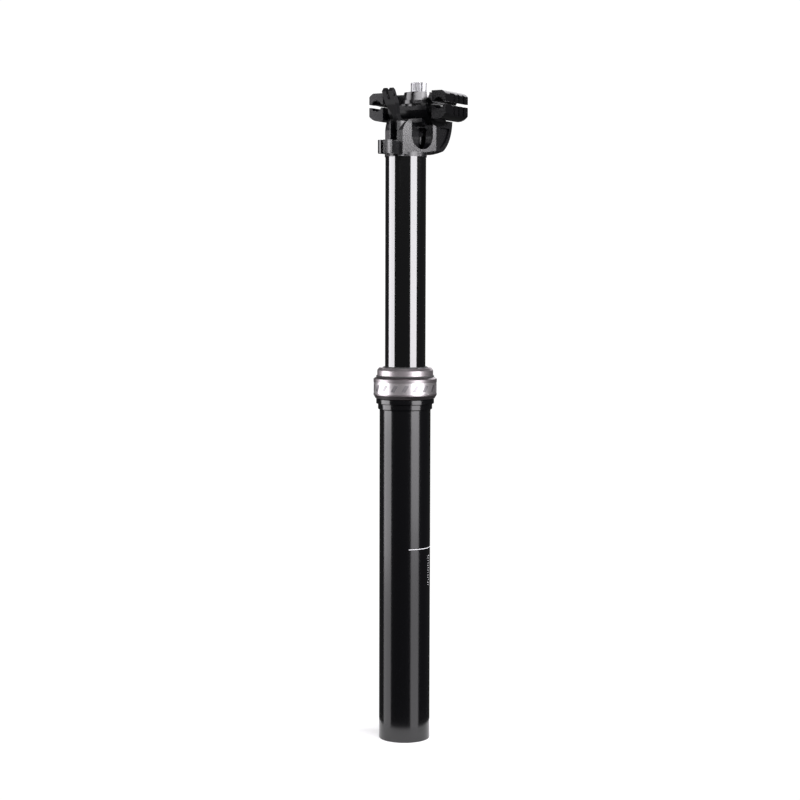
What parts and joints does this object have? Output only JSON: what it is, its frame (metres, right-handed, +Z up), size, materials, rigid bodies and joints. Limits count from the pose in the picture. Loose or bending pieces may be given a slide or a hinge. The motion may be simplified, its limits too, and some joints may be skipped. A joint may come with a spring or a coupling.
{
  "type": "telescopic seatpost",
  "caption": "Height-adjustable bicycle seatpost: sliding stanchion in a sealed tube, gas spring inside, setback head with rail clamp, release lever and cable stop.",
  "frame": {"origin": "on the tube axis at the lower end of the 31.6 mm sleeve", "axes": "+X to the rear of the bicycle (setback side), +Y to its right, +Z up the post"},
  "size_m": [0.0628, 0.054, 0.4075],
  "materials": {
    "gloss_black": "gloss anodised",
    "stanchion_black": "polished hard anodised",
    "collar_silver": "satin gunmetal",
    "band_silver": "bright machined",
    "cap_silver": "satin",
    "rubber_black": "matte",
    "bushing_polymer": "smooth",
    "key_brass": "satin",
    "inner_aluminium": "turned",
    "bolt_steel": "bright zinc",
    "spring_steel": "satin",
    "rod_chrome": "polished",
    "forged_black": "semi-matte anodised",
    "clamp_black": "semi-gloss anodised",
    "lever_grey": "satin anodised"
  },
  "bodies": {
    "fixed_leg": {"outer_tube": "gloss_black", "collar_nut": "collar_silver", "collar_band": "band_silver", "collar_cap": "cap_silver", "wiper_seal": "rubber_black", "upper_bushing": "bushing_polymer", "foot_cap": "inner_aluminium", "foot_bolt": "bolt_steel", "foot_circlip": "spring_steel", "piston_rod": "rod_chrome", "piston": "inner_aluminium", "piston_seal": "rubber_black", "bottom_bumper": "rubber_black"},
    "sliding_leg": {"stanchion_tube": "stanchion_black", "lower_bushing": "bushing_polymer", "anti_rotation_keys": "key_brass", "cartridge_tube": "inner_aluminium", "cartridge_seal_head": "inner_aluminium", "cartridge_foot_ring": "inner_aluminium", "rod_seal": "rubber_black", "cartridge_valve_body": "inner_aluminium", "top_out_bumper": "rubber_black", "head_forging": "forged_black", "lever_pin": "bolt_steel", "spring_seat": "spring_steel"},
    "release_lever": {"lever": "lever_grey"},
    "release_plunger": {"plunger": "bolt_steel", "valve_pin": "bolt_steel", "plunger_spring": "spring_steel"},
    "saddle_cradle": {"lower_clamp": "clamp_black", "saddle_washer": "spring_steel", "clamp_nut": "bolt_steel"},
    "top_jaw": {"upper_clamp": "clamp_black", "bolt_washer": "bolt_steel"},
    "clamp_screw": {"clamp_bolt": "bolt_steel"}
  },
  "joints": [
    {"name": "post_drop", "type": "slide", "parent": "fixed_leg", "child": "sliding_leg", "axis": [0, 0, -1], "range_m": [0, 0.125], "stiffness_N_per_m": 400, "springref_m": -0.6},
    {"name": "lever_pull", "type": "hinge", "parent": "sliding_leg", "child": "release_lever", "pos_m": [0.005, 0, 0.3794], "axis": [0, -1, 0], "range_deg": [0, 15], "stiffness_Nm_per_rad": 0.3, "springref_deg": -17.19},
    {"name": "plunger_press", "type": "slide", "parent": "sliding_leg", "child": "release_plunger", "axis": [0, 0, -1], "range_m": [0, 0.002], "deforming": ["plunger_spring"]},
    {"name": "clamp_tilt", "type": "hinge", "parent": "sliding_leg", "child": "saddle_cradle", "pos_m": [0.0156, 0, 0.396], "axis": [0, 1, 0], "range_deg": [-6, 6]},
    {"name": "jaw_lift", "type": "slide", "parent": "saddle_cradle", "child": "top_jaw", "axis": [0, 0, 1], "range_m": [0, 0.003]},
    {"name": "bolt_turn", "type": "hinge", "parent": "top_jaw", "child": "clamp_screw", "pos_m": [0.0156, 0, 0.39], "axis": [0, 0, 1], "range_deg": [0, 1085]}
  ],
  "couplings": [
    {"joint": "plunger_press", "follows": "lever_pull", "m_per_rad": 0.007},
    {"joint": "bolt_turn", "follows": "jaw_lift", "rad_per_m": 6283.2}
  ]
}
